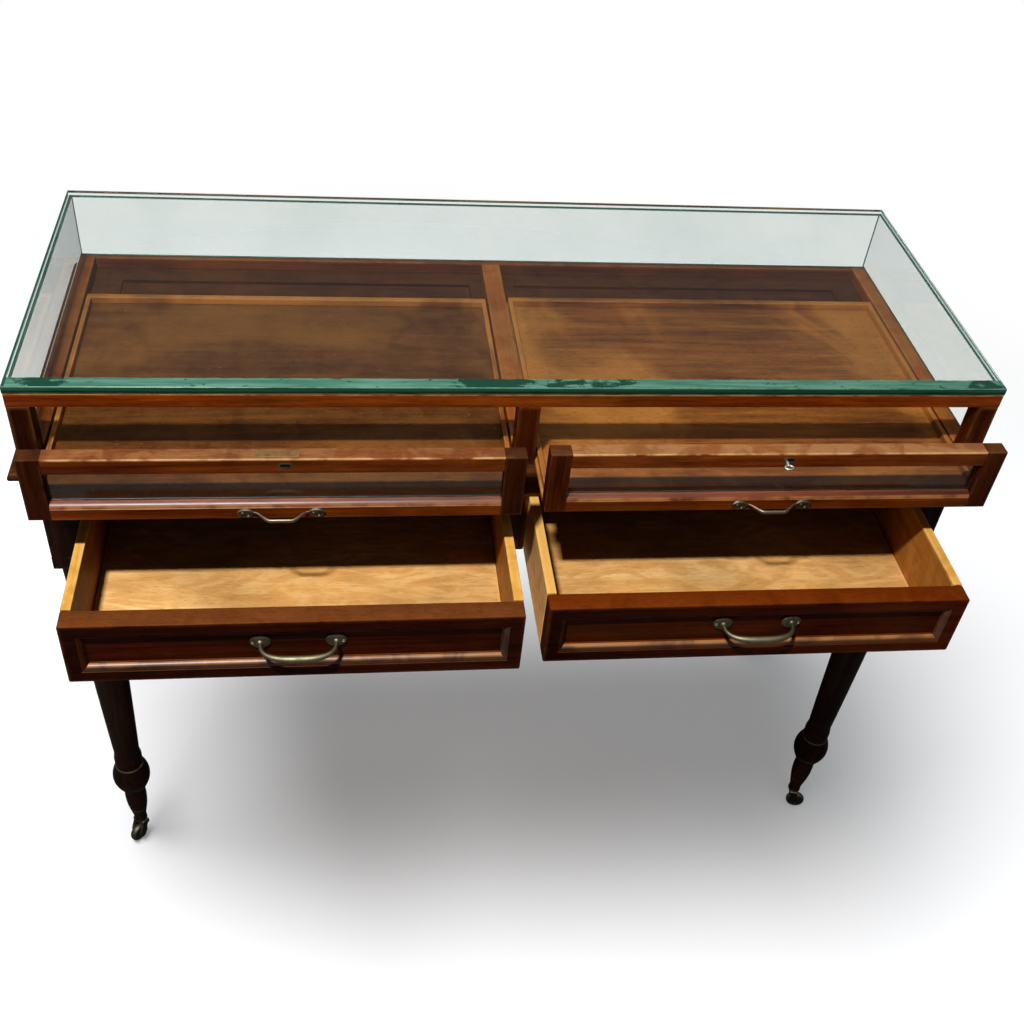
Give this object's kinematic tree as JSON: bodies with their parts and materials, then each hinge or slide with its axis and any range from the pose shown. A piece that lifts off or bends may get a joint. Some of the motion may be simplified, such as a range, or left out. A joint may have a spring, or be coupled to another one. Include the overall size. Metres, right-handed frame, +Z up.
{
  "type": "display cabinet",
  "caption": "Glass-topped wooden shop display cabinet on turned legs with casters; glazed display trays slide out above panelled drawers with bow handles",
  "frame": {"origin": "on the floor, under the middle of the object as it stands with its trays and drawers drawn out as in the picture", "axes": "+Z up, front towards -Y, +X to the right as seen from the front"},
  "size_m": [1.246, 0.7016, 0.96],
  "materials": {
    "mahogany": "polished red-brown mahogany",
    "leg_wood": "near-black polished mahogany",
    "tray_wood": "reddish brown stained wood, satin",
    "pine": "honey-coloured pine, waxed",
    "glass": "clear plate glass with green edges",
    "brass": "dulled brass",
    "caster_metal": "dark worn metal",
    "key_steel": "plain steel"
  },
  "bodies": {
    "cabinet": {"glass_top": "glass", "front_top_rail": "mahogany", "front_post_left": "mahogany", "front_post_centre": "mahogany", "front_post_right": "mahogany", "sill_left": "mahogany", "sill_right": "mahogany", "sill_back": "mahogany", "end_pane_left": "glass", "end_pane_right": "glass", "back_pane": "glass", "tray_divider": "mahogany", "waist_board": "mahogany", "frieze_rail": "mahogany", "end_panel_left": "mahogany", "end_panel_right": "mahogany", "case_back": "mahogany", "drawer_partition": "mahogany", "drawer_floor": "mahogany", "leg_front_left": "leg_wood", "leg_front_right": "leg_wood", "leg_rear_left": "leg_wood", "leg_rear_right": "leg_wood"},
    "tray_left": {"tray_left_stile_a": "mahogany", "tray_left_stile_b": "mahogany", "tray_left_top_rail": "mahogany", "tray_left_bottom_rail": "mahogany", "tray_left_pane": "glass", "tray_left_bottom": "tray_wood", "tray_left_rim": "tray_wood", "tray_left_handle": "brass"},
    "drawer_left": {"drawer_left_front": "mahogany", "drawer_left_side_a": "pine", "drawer_left_side_b": "pine", "drawer_left_bottom": "pine", "drawer_left_back": "pine", "drawer_left_handle": "brass"},
    "tray_right": {"tray_right_stile_a": "mahogany", "tray_right_stile_b": "mahogany", "tray_right_top_rail": "mahogany", "tray_right_bottom_rail": "mahogany", "tray_right_pane": "glass", "tray_right_bottom": "tray_wood", "tray_right_rim": "tray_wood", "tray_right_handle": "brass"},
    "drawer_right": {"drawer_right_front": "mahogany", "drawer_right_side_a": "pine", "drawer_right_side_b": "pine", "drawer_right_bottom": "pine", "drawer_right_back": "pine", "drawer_right_handle": "brass"},
    "caster_front_left": {"caster_fork_front_left": "brass"},
    "wheel_front_left": {"caster_wheel_front_left": "caster_metal"},
    "caster_front_right": {"caster_fork_front_right": "brass"},
    "wheel_front_right": {"caster_wheel_front_right": "caster_metal"},
    "caster_rear_left": {"caster_fork_rear_left": "brass"},
    "wheel_rear_left": {"caster_wheel_rear_left": "caster_metal"},
    "caster_rear_right": {"caster_fork_rear_right": "brass"},
    "wheel_rear_right": {"caster_wheel_rear_right": "caster_metal"},
    "key": {"tray_right_key": "key_steel"}
  },
  "joints": [
    {"name": "tray_left_slide", "type": "slide", "parent": "cabinet", "child": "tray_left", "axis": [0, -1, 0], "range_m": [-0.0955, 0.2045]},
    {"name": "tray_right_slide", "type": "slide", "parent": "cabinet", "child": "tray_right", "axis": [0, -1, 0], "range_m": [-0.0908, 0.2092]},
    {"name": "drawer_left_slide", "type": "slide", "parent": "cabinet", "child": "drawer_left", "axis": [0, -1, 0], "range_m": [-0.2122, 0.0878]},
    {"name": "drawer_right_slide", "type": "slide", "parent": "cabinet", "child": "drawer_right", "axis": [0, -1, 0], "range_m": [-0.2018, 0.0982]},
    {"name": "caster_front_left_swivel", "type": "hinge", "parent": "cabinet", "child": "caster_front_left", "pos_m": [-0.5685, -0.07859, 0.05], "axis": [0, 0, 1], "continuous": true},
    {"name": "wheel_front_left_spin", "type": "hinge", "parent": "caster_front_left", "child": "wheel_front_left", "pos_m": [-0.57404, -0.08568, 0.016], "axis": [0.788, -0.6157, 0], "continuous": true},
    {"name": "caster_front_right_swivel", "type": "hinge", "parent": "cabinet", "child": "caster_front_right", "pos_m": [0.5685, -0.07859, 0.05], "axis": [0, 0, 1], "continuous": true},
    {"name": "wheel_front_right_spin", "type": "hinge", "parent": "caster_front_right", "child": "wheel_front_right", "pos_m": [0.57723, -0.08077, 0.016], "axis": [0.2419, 0.9703, 0], "continuous": true},
    {"name": "caster_rear_left_swivel", "type": "hinge", "parent": "cabinet", "child": "caster_rear_left", "pos_m": [-0.5685, 0.30781, 0.05], "axis": [0, 0, 1], "continuous": true},
    {"name": "wheel_rear_left_spin", "type": "hinge", "parent": "caster_rear_left", "child": "wheel_rear_left", "pos_m": [-0.56484, 0.29959, 0.016], "axis": [0.9135, 0.4067, 0], "continuous": true},
    {"name": "caster_rear_right_swivel", "type": "hinge", "parent": "cabinet", "child": "caster_rear_right", "pos_m": [0.5685, 0.30781, 0.05], "axis": [0, 0, 1], "continuous": true},
    {"name": "wheel_rear_right_spin", "type": "hinge", "parent": "caster_rear_right", "child": "wheel_rear_right", "pos_m": [0.56141, 0.30227, 0.016], "axis": [0.6157, -0.788, 0], "continuous": true},
    {"name": "key_turn", "type": "hinge", "parent": "tray_right", "child": "key", "pos_m": [0.30145, -0.21149, 0.91925], "axis": [0, -1, 0], "range_deg": [0, 90]}
  ]
}
